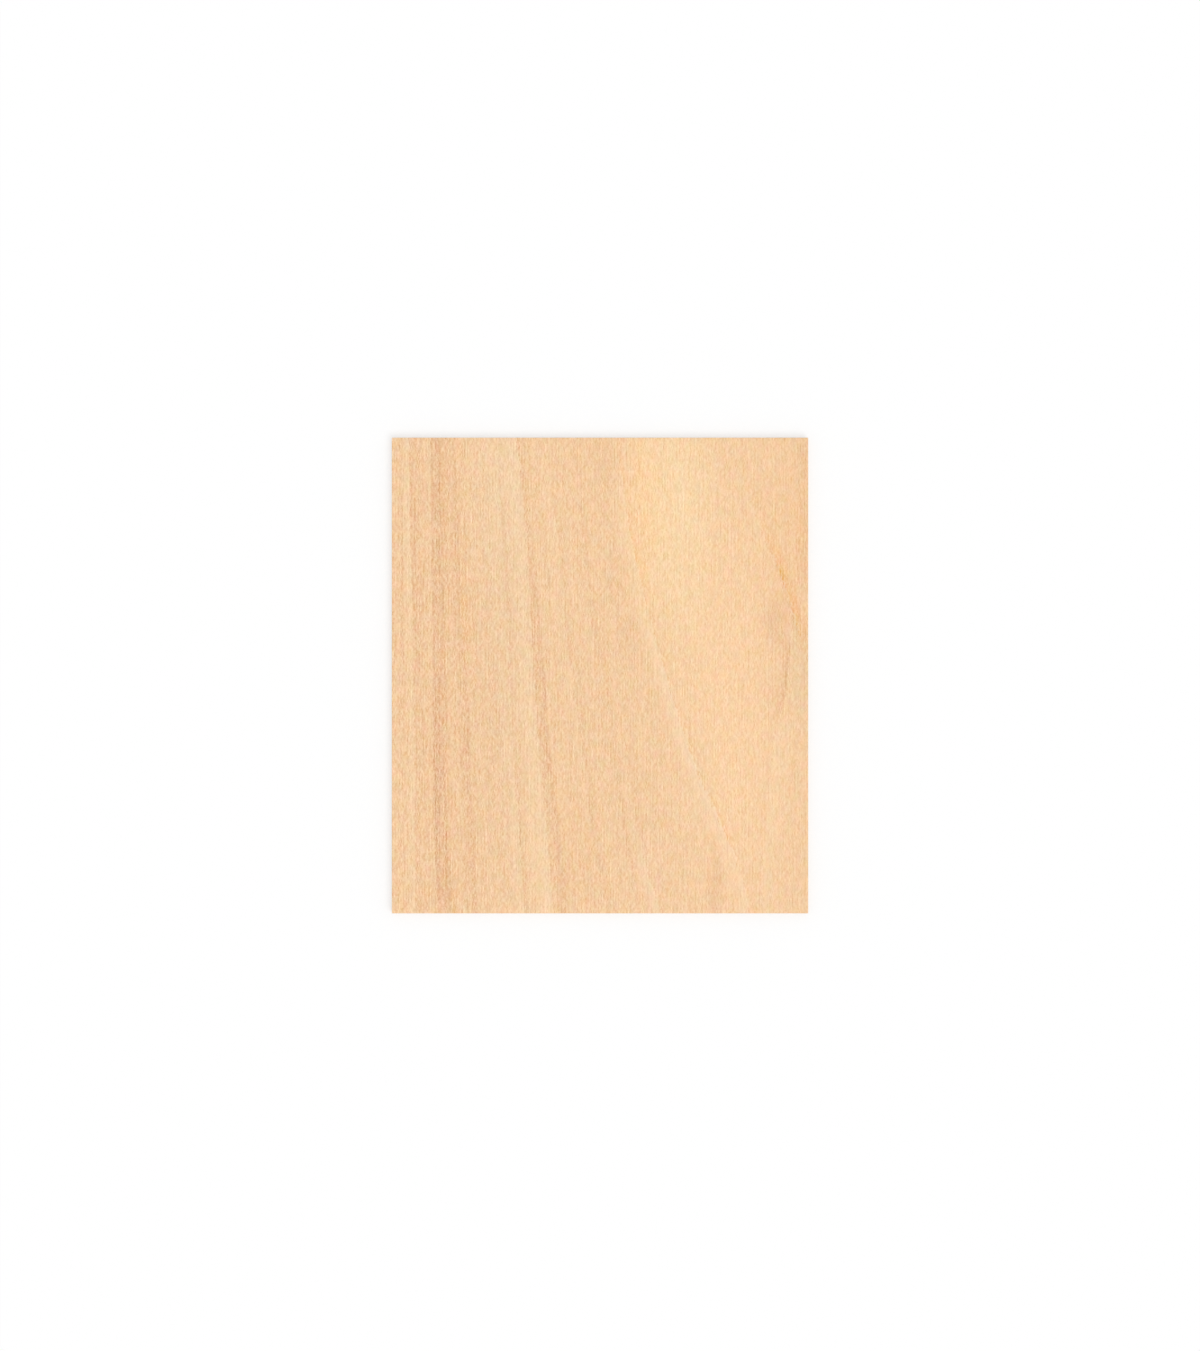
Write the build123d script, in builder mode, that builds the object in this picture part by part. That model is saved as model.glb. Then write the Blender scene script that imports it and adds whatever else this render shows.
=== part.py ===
"""Plywood sheet: one sawn panel with square corners and lightly sanded arrises.

The sheet lies flat on its back face. The origin is at the middle of that face, +Y runs along the
face grain and +Z points out of the good face. Lengths are in millimetres.
"""

import os

from build123d import *

# Sizes of the sheet
SHEET_LENGTH = 304.8  # along the face grain, 12 in
SHEET_WIDTH = 266.7  # across the face grain, 10 1/2 in
SHEET_THICKNESS = 6.35  # sanded, 1/4 in
ARRIS_RADIUS = 0.3  # every sawn edge is eased with fine paper, so that it doesn't splinter

with BuildPart() as plywood_sheet:
    # The panel, pressed flat and sawn square to size
    with BuildSketch(Plane.XY) as outline:
        Rectangle(SHEET_WIDTH, SHEET_LENGTH)
    extrude(amount=SHEET_THICKNESS)

    # The rims of both faces and the four upright corners, all eased alike
    fillet(plywood_sheet.edges(), radius=ARRIS_RADIUS)

plywood_sheet.part.label = "plywood_sheet"

os.makedirs("parts", exist_ok=True)
export_step(plywood_sheet.part, "parts/plywood_sheet.step")
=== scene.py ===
"""Looks of a plywood sheet: one sawn panel that lies flat, good face up, seen straight from above.

The sheet is one closed piece. A geometry rule lays out its cells, rounds its arrises and cuts the
fine relief of the grain and of the sawn plies. Four finishes dress it: the good face, the back
face, and the sawn edges along and across the face grain. Sizes in fields are in millimetres.
"""

import logging
import math
from dataclasses import dataclass
from enum import Enum
from typing import Any

import bpy
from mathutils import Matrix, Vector


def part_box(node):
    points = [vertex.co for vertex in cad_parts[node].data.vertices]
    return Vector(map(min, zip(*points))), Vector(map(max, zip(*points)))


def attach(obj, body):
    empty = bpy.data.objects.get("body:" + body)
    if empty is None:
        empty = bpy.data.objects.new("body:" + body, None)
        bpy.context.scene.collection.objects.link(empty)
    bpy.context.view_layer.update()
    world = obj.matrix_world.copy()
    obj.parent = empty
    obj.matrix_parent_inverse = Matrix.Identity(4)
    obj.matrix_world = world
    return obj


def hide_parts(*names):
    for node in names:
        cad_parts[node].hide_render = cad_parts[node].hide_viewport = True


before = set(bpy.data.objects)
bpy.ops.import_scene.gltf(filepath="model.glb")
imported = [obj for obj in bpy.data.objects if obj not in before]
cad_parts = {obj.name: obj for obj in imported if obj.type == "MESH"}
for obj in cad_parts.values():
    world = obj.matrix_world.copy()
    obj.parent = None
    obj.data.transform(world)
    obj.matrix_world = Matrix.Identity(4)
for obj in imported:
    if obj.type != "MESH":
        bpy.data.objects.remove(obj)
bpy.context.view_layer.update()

SHEET_NODE = "plywood_sheet"
SHEET_BODY = "root"
MM = 0.001  # metres in a millimetre
WOOD_IOR = 1.5  # a typical value for bare wood
SOFT_DETAIL = 1.0  # finer layers in noise that changes softly
MARK_DETAIL = 2.0  # finer layers in noise that draws streaks, marks and wavy plies

# Height of the photograph's frame, and how wide the sheet is in it
PHOTO_HEIGHT_PX = 1351
SHEET_WIDTH_PX = 416.4

log = logging.getLogger("plywood_sheet")

Share = float  # a place across the sheet from its left edge, or down it from its far edge, 0 to 1
Course = tuple[tuple[Share, float], ...]  # values given along a share: (share, value) pairs
Axis = tuple[float, float, float]
Tree = bpy.types.NodeTree
Socket = bpy.types.NodeSocket


def linear(hex_colour: str) -> tuple[float, float, float, float]:
    """Turns an sRGB hex colour into linear light.

    Args:
        hex_colour: Colour such as "#F4CDA3".

    Returns:
        Linear red, green, blue and an alpha of 1.
    """
    channels = [int(hex_colour[i : i + 2], 16) / 255 for i in (1, 3, 5)]
    light = [c / 12.92 if c <= 0.04045 else ((c + 0.055) / 1.055) ** 2.4 for c in channels]
    return (*light, 1.0)


def per_metre(size_mm: float) -> float:
    """Gives how many times a size in millimetres goes into a metre."""
    return 1 / (size_mm * MM)


def empty_material(name: str) -> bpy.types.Material:
    """Makes a material with an empty node tree.

    Args:
        name: Name of the material.

    Returns:
        The material.
    """
    made = bpy.data.materials.new(name)
    made.use_nodes = True
    made.node_tree.nodes.clear()
    return made


def socket_of(sockets: Any, key: int | str) -> Socket:
    """Finds a socket by its index, identifier or name.

    Args:
        sockets: A node's inputs or outputs.
        key: Index, identifier or name.

    Returns:
        The first socket that fits.
    """
    if isinstance(key, int):
        return sockets[key]
    return next(s for s in sockets if key in (s.identifier, s.name))


def add_node(
    tree: Tree,
    kind: str,
    inputs: dict[int | str, Any] | None = None,
    output: int | str = 0,
    **settings: Any,
) -> Socket | None:
    """Adds a node with its settings and links.

    Args:
        tree: Node tree that gets the node.
        kind: Blender's name for the node type.
        inputs: Values, or sockets to link from, by input.
        output: Output that the caller goes on with.
        **settings: Properties of the node.

    Returns:
        The chosen output socket, or None where the node has no outputs.
    """
    node = tree.nodes.new(kind)
    for name, value in settings.items():
        setattr(node, name, value)
    for key, value in (inputs or {}).items():
        target = socket_of(node.inputs, key)
        if isinstance(value, Socket):
            tree.links.new(value, target)
        else:
            target.default_value = value
    return socket_of(node.outputs, output) if node.outputs else None


def draw_course(tree: Tree, share: Socket, course: Course) -> Socket:
    """Reads a given course through a Float Curve node.

    Args:
        tree: Tree that gets the node.
        share: Share at which the course is read.
        course: (share, value) pairs, in order.

    Returns:
        The value at that share.
    """
    value = add_node(tree, "ShaderNodeFloatCurve", {"Value": share})
    mapping = value.node.mapping
    mapping.extend = "HORIZONTAL"
    points = mapping.curves[0].points
    points[0].location = course[0]
    points[1].location = course[-1]
    for place in course[1:-1]:
        points.new(*place)
    mapping.update()
    return value


class Tone(Enum):
    """Colours that pale veneer takes on beside its growth lines and in patches, at full strength."""

    DARK = "#E1B189"
    PALE = "#F8DBB3"
    AMBER = "#F1BC84"
    HONEY = "#FAD8A9"
    CREAM = "#FDD4A7"
    ROSE = "#FDC8A0"
    LILAC = "#F4CBAB"
    GREY = "#E9C39C"
    TEAL = "#E8C9A0"


class EdgeRun(Enum):
    """Which way a sawn edge runs against the face grain."""

    ALONG = "along"
    ACROSS = "across"


@dataclass(frozen=True)
class Side:
    """Wood on one side of a growth line: a tone that is full at the line and fades away from it.

    Attributes:
        tone: Its colour.
        reach_mm: How far from the line it fades out.
        strength: (down, strength) pairs, 1 for the full tone.
    """

    tone: Tone
    reach_mm: float
    strength: Course


@dataclass(frozen=True)
class GrowthLine:
    """One growth line that runs down a face, crisp where one year's wood ends on the next.

    Attributes:
        route: (down, across) shares that it passes through.
        left: The wood on its left, where that isn't plain ground.
        right: The wood on its right, where that isn't plain ground.
    """

    route: Course
    left: Side | None = None
    right: Side | None = None


@dataclass(frozen=True)
class Patch:
    """One soft patch of another tone on a face.

    Attributes:
        tone: Its colour.
        across: Share across the sheet of its middle.
        down: Share down the sheet of its middle.
        width_mm: Its visible width.
        length_mm: Its visible length, along the grain.
        strength: 1 for the full tone.
    """

    tone: Tone
    across: Share
    down: Share
    width_mm: float
    length_mm: float
    strength: float


@dataclass(frozen=True)
class Fibre:
    """One size of streak that the wood's fibres and vessels leave on a face.

    Attributes:
        width_mm: Width of a streak.
        length_mm: Length of the longest streaks of this size.
        contrast: How far it goes between the streak colours.
        scatter: Step between neighbouring streaks in the noise. Where it is small they are dark and
            pale by turns, and where it is large each goes its own way.
    """

    width_mm: float
    length_mm: float
    contrast: float
    scatter: float


@dataclass(frozen=True)
class Drift:
    """A soft drift of the ground, here towards another tone and there just as far away from it.

    Attributes:
        tone: The tone that it drifts to.
        width_mm: Width of one stretch.
        length_mm: Length of one stretch.
        strength: How far it goes, 1 for a drift that seldom reaches half the tone.
        follows: Whether it runs along the growth lines, as long drifts do, or stands upright.
    """

    tone: Tone
    width_mm: float
    length_mm: float
    strength: float
    follows: bool = False


# The way that the long slanting line takes down the good face
SLANT_ROUTE = (
    (0.0, 0.540), (0.1, 0.556), (0.2, 0.573), (0.3, 0.598), (0.4, 0.626), (0.5, 0.660),
    (0.6, 0.694), (0.7, 0.734), (0.8, 0.785), (0.9, 0.833), (1.0, 0.862),
)

GOOD_FACE_LINES = (
    # A thin brown thread by the left edge
    GrowthLine(
        ((0.0, 0.020), (0.5, 0.024), (1.0, 0.026)),
        right=Side(Tone.DARK, 2.5, ((0.0, 0.1), (0.15, 0.2), (0.5, 0.2), (0.6, 0.1), (1.0, 0.1))),
    ),
    # The pale strip at the left, which ends crisply on brown
    GrowthLine(
        ((0.0, 0.040), (0.2, 0.044), (0.3, 0.048), (0.5, 0.052), (0.8, 0.055), (1.0, 0.057)),
        Side(Tone.PALE, 7.0, ((0.0, 0.45), (0.2, 0.5), (0.35, 0.4), (0.6, 0.35), (1.0, 0.35))),
        Side(Tone.DARK, 11.0, ((0.0, 0.28), (0.2, 0.28), (0.45, 0.22), (0.6, 0.15), (1.0, 0.15))),
    ),
    # The darkest band, with a pale edge on its left and a thin line within it
    GrowthLine(
        ((0.0, 0.092), (0.2, 0.094), (0.35, 0.097), (0.65, 0.099), (0.8, 0.101), (1.0, 0.112)),
        Side(Tone.PALE, 4.0, ((0.0, 0.3), (0.2, 0.3), (0.3, 0.15), (0.5, 0.15), (0.6, 0.0), (1.0, 0.0))),
        Side(
            Tone.DARK, 14.0,
            ((0.0, 0.35), (0.25, 0.35), (0.35, 0.3), (0.45, 0.38), (0.6, 0.5), (0.85, 0.52), (1.0, 0.4)),
        ),
    ),
    GrowthLine(
        ((0.0, 0.112), (0.15, 0.118), (0.25, 0.122), (0.6, 0.128), (0.8, 0.132), (1.0, 0.146)),
        Side(Tone.DARK, 4.0, ((0.0, 0.1), (0.2, 0.2), (0.3, 0.2), (0.5, 0.12), (0.7, 0.15), (1.0, 0.3))),
        Side(Tone.AMBER, 6.0, ((0.0, 0.05), (0.15, 0.15), (0.3, 0.1), (0.6, 0.05), (0.85, 0.1), (1.0, 0.3))),
    ),
    GrowthLine(
        ((0.0, 0.152), (0.2, 0.161), (0.4, 0.168), (0.5, 0.180), (0.6, 0.188), (0.8, 0.194), (1.0, 0.207)),
        Side(
            Tone.DARK, 10.0,
            ((0.0, 0.2), (0.2, 0.25), (0.38, 0.25), (0.45, 0.25), (0.6, 0.38), (0.85, 0.32), (1.0, 0.38)),
        ),
        Side(Tone.AMBER, 8.0, ((0.0, 0.05), (0.2, 0.1), (0.3, 0.15), (0.42, 0.2), (0.5, 0.05), (1.0, 0.05))),
    ),
    # A faint line in the lighter stretch
    GrowthLine(
        ((0.0, 0.250), (0.2, 0.265), (0.4, 0.275), (0.6, 0.287), (0.8, 0.303), (1.0, 0.320)),
        Side(
            Tone.PALE, 10.0,
            ((0.0, 0.1), (0.2, 0.25), (0.3, 0.15), (0.5, 0.2), (0.65, 0.25), (0.9, 0.3), (1.0, 0.2)),
        ),
        Side(Tone.DARK, 5.0, ((0.0, 0.1), (0.2, 0.12), (0.4, 0.15), (0.6, 0.12), (0.85, 0.2), (1.0, 0.15))),
    ),
    # The plain pair down the middle left: pale wood, then a dark band that ends crisply
    GrowthLine(
        ((0.0, 0.300), (0.2, 0.322), (0.4, 0.335), (0.5, 0.342), (0.6, 0.350), (0.8, 0.369), (1.0, 0.389)),
        Side(
            Tone.PALE, 18.0,
            ((0.0, 0.45), (0.1, 0.5), (0.2, 0.45), (0.4, 0.35), (0.55, 0.38), (0.75, 0.4), (1.0, 0.42)),
        ),
        Side(Tone.DARK, 3.0, ((0.0, 0.15), (0.5, 0.15), (1.0, 0.1))),
    ),
    GrowthLine(
        (
            (0.0, 0.318), (0.15, 0.333), (0.3, 0.347), (0.5, 0.368), (0.6, 0.374), (0.7, 0.386),
            (0.8, 0.400), (1.0, 0.426),
        ),
        Side(
            Tone.DARK, 12.0,
            (
                (0.0, 0.25), (0.1, 0.2), (0.2, 0.15), (0.3, 0.25), (0.5, 0.42), (0.65, 0.38), (0.8, 0.34),
                (1.0, 0.28),
            ),
        ),
        Side(Tone.AMBER, 2.5, ((0.0, 0.0), (0.6, 0.05), (0.7, 0.2), (0.9, 0.2), (1.0, 0.2))),
    ),
    # Faint lines in the middle
    GrowthLine(
        ((0.0, 0.372), (0.1, 0.382), (0.3, 0.410), (0.4, 0.418), (0.6, 0.450), (0.8, 0.476), (1.0, 0.517)),
        Side(
            Tone.PALE, 8.0,
            ((0.0, 0.1), (0.2, 0.18), (0.32, 0.2), (0.45, 0.15), (0.6, 0.15), (0.75, 0.08), (1.0, 0.0)),
        ),
        Side(Tone.DARK, 7.0, ((0.0, 0.05), (0.2, 0.12), (0.3, 0.15), (0.6, 0.12), (0.85, 0.2), (1.0, 0.2))),
    ),
    GrowthLine(
        ((0.0, 0.440), (0.1, 0.455), (0.2, 0.465), (0.4, 0.495), (0.5, 0.515), (0.7, 0.545), (1.0, 0.600)),
        Side(
            Tone.DARK, 5.0,
            ((0.0, 0.12), (0.1, 0.2), (0.2, 0.12), (0.4, 0.2), (0.6, 0.12), (0.72, 0.25), (1.0, 0.0)),
        ),
        Side(Tone.AMBER, 4.0, ((0.0, 0.05), (0.2, 0.1), (0.5, 0.1), (0.7, 0.05), (1.0, 0.0))),
    ),
    # The long slanting line, pale and cool on its left and amber on its right
    GrowthLine(
        SLANT_ROUTE,
        Side(Tone.LILAC, 11.0, ((0.0, 0.0), (0.42, 0.0), (0.52, 0.35), (0.8, 0.35), (1.0, 0.25))),
    ),
    GrowthLine(
        SLANT_ROUTE,
        Side(
            Tone.PALE, 11.0,
            (
                (0.0, 0.05), (0.15, 0.25), (0.4, 0.3), (0.5, 0.36), (0.6, 0.36), (0.75, 0.3), (0.85, 0.26),
                (1.0, 0.22),
            ),
        ),
        Side(
            Tone.AMBER, 6.0,
            (
                (0.0, 0.1), (0.3, 0.3), (0.42, 0.15), (0.6, 0.1), (0.72, 0.15), (0.82, 0.3), (0.9, 0.1),
                (1.0, 0.05),
            ),
        ),
    ),
    # A short pale line at the bottom
    GrowthLine(
        ((0.0, 0.470), (0.6, 0.545), (0.7, 0.563), (0.8, 0.585), (0.9, 0.610), (1.0, 0.648)),
        Side(Tone.PALE, 7.0, ((0.0, 0.0), (0.6, 0.0), (0.7, 0.08), (0.82, 0.12), (0.9, 0.38), (1.0, 0.42))),
        Side(Tone.DARK, 6.0, ((0.0, 0.0), (0.6, 0.0), (0.7, 0.08), (0.85, 0.08), (1.0, 0.12))),
    ),
    # The orange line that runs off at the right edge, after pale wood higher up
    GrowthLine(
        ((0.0, 0.800), (0.1, 0.846), (0.2, 0.890), (0.3, 0.930), (0.5, 1.0)),
        Side(Tone.PALE, 6.0, ((0.0, 0.0), (0.1, 0.1), (0.17, 0.3), (0.22, 0.25), (0.28, 0.0), (1.0, 0.0))),
    ),
    GrowthLine(
        ((0.0, 0.800), (0.1, 0.848), (0.2, 0.896), (0.25, 0.919), (0.3, 0.940), (0.4, 0.974), (0.5, 1.0)),
        Side(
            Tone.DARK, 4.0,
            ((0.0, 0.0), (0.2, 0.0), (0.26, 0.15), (0.33, 0.3), (0.4, 0.3), (0.46, 0.0), (1.0, 0.0)),
        ),
        Side(
            Tone.AMBER, 9.0,
            (
                (0.0, 0.0), (0.1, 0.05), (0.2, 0.15), (0.25, 0.55), (0.33, 0.75), (0.4, 0.55), (0.46, 0.0),
                (1.0, 0.0),
            ),
        ),
    ),
    # A dark thread under it that leans the other way and fades out low on the right
    GrowthLine(
        (
            (0.0, 0.975), (0.43, 0.957), (0.5, 0.950), (0.55, 0.944), (0.6, 0.925), (0.7, 0.911),
            (0.8, 0.901), (0.9, 0.892), (1.0, 0.884),
        ),
        Side(
            Tone.DARK, 6.0,
            ((0.0, 0.0), (0.4, 0.0), (0.45, 0.55), (0.5, 0.6), (0.56, 0.35), (0.6, 0.12), (1.0, 0.1)),
        ),
        Side(Tone.PALE, 14.0, ((0.0, 0.0), (0.55, 0.0), (0.65, 0.2), (0.8, 0.2), (1.0, 0.15))),
    ),
)

GOOD_FACE_PATCHES = (
    Patch(Tone.DARK, 0.11, 0.5, 50.0, 420.0, 0.12),
    Patch(Tone.AMBER, 0.185, 0.38, 9.0, 50.0, 0.10),
    Patch(Tone.PALE, 0.235, 0.12, 22.0, 130.0, 0.20),
    Patch(Tone.GREY, 0.26, 0.5, 26.0, 260.0, 0.35),
    Patch(Tone.GREY, 0.48, 0.55, 70.0, 170.0, 0.10),
    Patch(Tone.GREY, 0.67, 0.85, 60.0, 80.0, 0.12),
    Patch(Tone.DARK, 0.45, 0.92, 24.0, 50.0, 0.12),
    Patch(Tone.AMBER, 0.45, 0.85, 24.0, 50.0, 0.10),
    Patch(Tone.DARK, 0.515, 0.05, 16.0, 50.0, 0.15),
    Patch(Tone.DARK, 0.550, 0.28, 14.0, 40.0, 0.12),
    Patch(Tone.DARK, 0.575, 0.42, 14.0, 30.0, 0.20),
    Patch(Tone.AMBER, 0.605, 0.17, 14.0, 80.0, 0.28),
    Patch(Tone.CREAM, 0.600, 0.14, 22.0, 110.0, 0.55),
    Patch(Tone.HONEY, 0.675, 0.15, 38.0, 150.0, 0.72),
    Patch(Tone.PALE, 0.730, 0.20, 24.0, 110.0, 0.10),
    Patch(Tone.CREAM, 0.82, 0.20, 60.0, 150.0, 0.15),
    Patch(Tone.CREAM, 0.81, 0.65, 57.0, 190.0, 0.60),
    Patch(Tone.TEAL, 0.740, 0.73, 14.0, 60.0, 0.28),
    Patch(Tone.LILAC, 0.620, 0.93, 12.0, 36.0, 0.30),
    Patch(Tone.CREAM, 0.620, 0.93, 12.0, 36.0, 0.20),
    Patch(Tone.AMBER, 0.96, 0.18, 36.0, 70.0, 0.20),
    Patch(Tone.DARK, 0.985, 0.05, 8.0, 40.0, 0.20),
    Patch(Tone.DARK, 0.990, 0.24, 8.0, 50.0, 0.20),
    Patch(Tone.DARK, 0.920, 0.39, 12.0, 28.0, 0.45),
    Patch(Tone.DARK, 0.915, 0.53, 10.0, 24.0, 0.20),
    Patch(Tone.TEAL, 0.982, 0.50, 14.0, 50.0, 0.50),
    Patch(Tone.DARK, 0.778, 0.95, 8.0, 45.0, 0.42),
)

# How far growth lines lean, as a share across for each share down, by where they cross mid-length
GOOD_FACE_LEAN = (
    (0.0, 0.01), (0.1, 0.02), (0.18, 0.05), (0.28, 0.07), (0.37, 0.11), (0.44, 0.145),
    (0.52, 0.17), (0.6, 0.26), (0.66, 0.33), (0.78, 0.30), (0.9, 0.10), (1.0, 0.0),
)

BACK_FACE_LINES = (
    GrowthLine(
        ((0.0, 0.140), (0.5, 0.165), (1.0, 0.175)),
        Side(Tone.PALE, 6.0, ((0.0, 0.3), (0.5, 0.2), (1.0, 0.35))),
        Side(Tone.DARK, 11.0, ((0.0, 0.45), (0.5, 0.3), (1.0, 0.5))),
    ),
    GrowthLine(
        ((0.0, 0.270), (0.5, 0.290), (1.0, 0.282)),
        Side(Tone.PALE, 8.0, ((0.0, 0.4), (0.5, 0.35), (1.0, 0.45))),
        Side(Tone.DARK, 5.0, ((0.0, 0.2), (0.5, 0.3), (1.0, 0.2))),
    ),
    GrowthLine(
        ((0.0, 0.360), (0.45, 0.395), (1.0, 0.380)),
        Side(Tone.DARK, 8.0, ((0.0, 0.25), (0.4, 0.45), (1.0, 0.3))),
        Side(Tone.AMBER, 4.0, ((0.0, 0.2), (0.5, 0.3), (1.0, 0.1))),
    ),
    GrowthLine(
        ((0.0, 0.520), (0.4, 0.545), (0.7, 0.540), (1.0, 0.515)),
        Side(Tone.PALE, 5.0, ((0.0, 0.3), (0.5, 0.4), (1.0, 0.2))),
        Side(Tone.AMBER, 6.0, ((0.0, 0.35), (0.5, 0.5), (1.0, 0.3))),
    ),
    GrowthLine(
        ((0.0, 0.640), (0.4, 0.660), (1.0, 0.630)),
        Side(Tone.PALE, 9.0, ((0.0, 0.35), (0.6, 0.45), (1.0, 0.3))),
        Side(Tone.DARK, 6.0, ((0.0, 0.15), (0.6, 0.25), (1.0, 0.2))),
    ),
    GrowthLine(
        ((0.0, 0.800), (0.5, 0.825), (1.0, 0.790)),
        Side(Tone.DARK, 6.0, ((0.0, 0.2), (0.5, 0.35), (1.0, 0.2))),
        Side(Tone.DARK, 12.0, ((0.0, 0.3), (0.5, 0.45), (1.0, 0.4))),
    ),
    GrowthLine(
        ((0.0, 0.905), (0.5, 0.920), (1.0, 0.900)),
        Side(Tone.PALE, 7.0, ((0.0, 0.4), (1.0, 0.35))),
        Side(Tone.DARK, 4.0, ((0.0, 0.25), (1.0, 0.2))),
    ),
)

BACK_FACE_PATCHES = (
    Patch(Tone.ROSE, 0.30, 0.30, 60.0, 220.0, 0.35),
    Patch(Tone.HONEY, 0.72, 0.65, 60.0, 240.0, 0.40),
    Patch(Tone.GREY, 0.50, 0.90, 90.0, 120.0, 0.30),
)

BACK_FACE_LEAN = ((0.0, 0.03), (0.4, 0.02), (0.6, 0.0), (1.0, 0.0))


@dataclass(frozen=True)
class FaceVeneer:
    """Rotary-cut pale hardwood veneer, sanded and left bare.

    The knife peels the log round, so growth lines wander down the face while the fibres stay near
    upright. To the eye that is a warm pale ground, crisp slanting lines and soft patches, and
    everywhere short fine streaks along the grain. Bare sanded wood is matt, with a low sheen.
    """

    name: str
    ground: str
    lines: tuple[GrowthLine, ...]
    patches: tuple[Patch, ...]
    lean: Course
    seed: float
    # Real vessels are about 0.1 mm wide and too fine to show, so streaks stand for bundles of them
    fibres: tuple[Fibre, ...] = (
        Fibre(0.72, 2.5, 1.65, 0.64),
        Fibre(0.85, 19.0, 0.95, 0.25),
    )
    drifts: tuple[Drift, ...] = (
        Drift(Tone.ROSE, 5.5, 7.5, 1.3),
        Drift(Tone.LILAC, 5.5, 7.5, 1.6),
        Drift(Tone.DARK, 3.5, 7.0, 0.25),
        Drift(Tone.DARK, 3.0, 120.0, 0.2, follows=True),
        Drift(Tone.AMBER, 5.0, 60.0, 0.15, follows=True),
    )
    streak_dark: str = "#E7BC8C"
    streak_pale: str = "#FDDCB0"
    broken: float = 0.5  # how much streaks break up into shorter ones
    wander_mm: float = 0.35  # how far the grain strays, which also makes strips uneven in width
    wander_width_mm: float = 3.5
    wander_length_mm: float = 150.0
    ragged_mm: float = 7.0  # how far streaks pull a growth line up and down
    crisp_mm: float = 0.9  # width of the step at a growth line
    drift_shift: tuple[float, float] = (-7.3, 4.7)  # how far apart drifts lie in the noise
    slant_deg: float = 2.0  # how far soft noise stands off upright, so that it doesn't form rows
    lean_steps: int = 3  # rounds in which a point's way to mid-length is worked out
    left_contrast: float = 1.2  # streaks stand out more in the left bands than at the right
    right_contrast: float = 0.85
    feather: float = 0.9  # how far streaks break up the growth lines
    roughness: float = 0.62
    roughness_spread: float = 0.08
    specular: float = 0.25
    bump_mm: float = 0.003

    def material(self, sheet: "PlywoodSheet") -> bpy.types.Material:
        """Builds the finish for a sheet.

        Args:
            sheet: Sheet whose size the figure is drawn to.

        Returns:
            The node material.
        """
        made = empty_material(self.name)
        tree = made.node_tree
        place = add_node(tree, "ShaderNodeTexCoord", output="Object")
        streaks = self.streaks(tree, self.strayed(tree, place))
        across, down = self.shares(tree, place, streaks, sheet)
        figure = self.figure(tree, place, across, down, streaks, sheet)
        contrast = add_node(
            tree, "ShaderNodeMapRange",
            {"Value": across, "To Min": self.left_contrast, "To Max": self.right_contrast},
        )
        signed = add_node(tree, "ShaderNodeMath", {0: streaks, 1: contrast}, operation="MULTIPLY")
        tint = Vector(linear(self.streak_pale)[:3]) - Vector(linear(self.streak_dark)[:3])
        streaked = add_node(
            tree, "ShaderNodeVectorMath", {0: signed, 1: tint, 2: figure}, operation="MULTIPLY_ADD"
        )
        colour = add_node(
            tree, "ShaderNodeVectorMath", {0: streaked, 1: (1.0, 1.0, 1.0)}, operation="MINIMUM"
        )
        rough = add_node(
            tree, "ShaderNodeMapRange",
            {
                "Value": streaks, "From Min": -1.0, "From Max": 1.0,
                "To Min": self.roughness + self.roughness_spread,
                "To Max": self.roughness - self.roughness_spread,
            },
        )
        bump = add_node(
            tree, "ShaderNodeBump",
            {"Height": streaks, "Strength": 1.0, "Distance": self.bump_mm * MM},
        )
        surface = add_node(
            tree, "ShaderNodeBsdfPrincipled",
            {
                "Base Color": colour, "Roughness": rough, "Normal": bump,
                "IOR": WOOD_IOR, "Specular IOR Level": self.specular,
            },
        )
        add_node(tree, "ShaderNodeOutputMaterial", {"Surface": surface})
        return made

    def stretched_noise(
        self, tree: Tree, place: Socket, shift: tuple[float, float], width_mm: float, length_mm: float
    ) -> Socket:
        """Makes soft noise that is stretched along the grain and stands off upright by the slant.

        Args:
            tree: Tree of the material.
            place: Place on the face or along the growth lines, in metres.
            shift: How far from the seed it lies in the noise.
            width_mm: Width of one stretch.
            length_mm: Length of one stretch.

        Returns:
            The noise, 0.5 on average.
        """
        turn = math.atan(math.tan(math.radians(self.slant_deg)) * length_mm / width_mm)
        spot = add_node(
            tree, "ShaderNodeMapping",
            {
                "Vector": place,
                "Location": (self.seed + shift[0], self.seed + shift[1], 0.0),
                "Rotation": (0.0, 0.0, turn),
                "Scale": (per_metre(width_mm), per_metre(length_mm), 1.0),
            },
        )
        return add_node(
            tree, "ShaderNodeTexNoise",
            {"Vector": spot, "Scale": 1.0, "Detail": SOFT_DETAIL}, noise_dimensions="2D",
        )

    def strayed(self, tree: Tree, place: Socket) -> Socket:
        """Bends the fibres a little, so that no streak is straight as a ruler.

        Args:
            tree: Tree of the material.
            place: Object coordinates, in metres.

        Returns:
            The coordinates, moved aside by the grain.
        """
        noise = self.stretched_noise(
            tree, place, (0.0, 0.0), self.wander_width_mm, self.wander_length_mm
        )
        reach = 2 * self.wander_mm * MM
        shift = add_node(
            tree, "ShaderNodeMath", {0: noise, 1: reach, 2: -reach / 2}, operation="MULTIPLY_ADD"
        )
        aside = add_node(tree, "ShaderNodeCombineXYZ", {"X": shift})
        return add_node(tree, "ShaderNodeVectorMath", {0: place, 1: aside}, operation="ADD")

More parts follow.
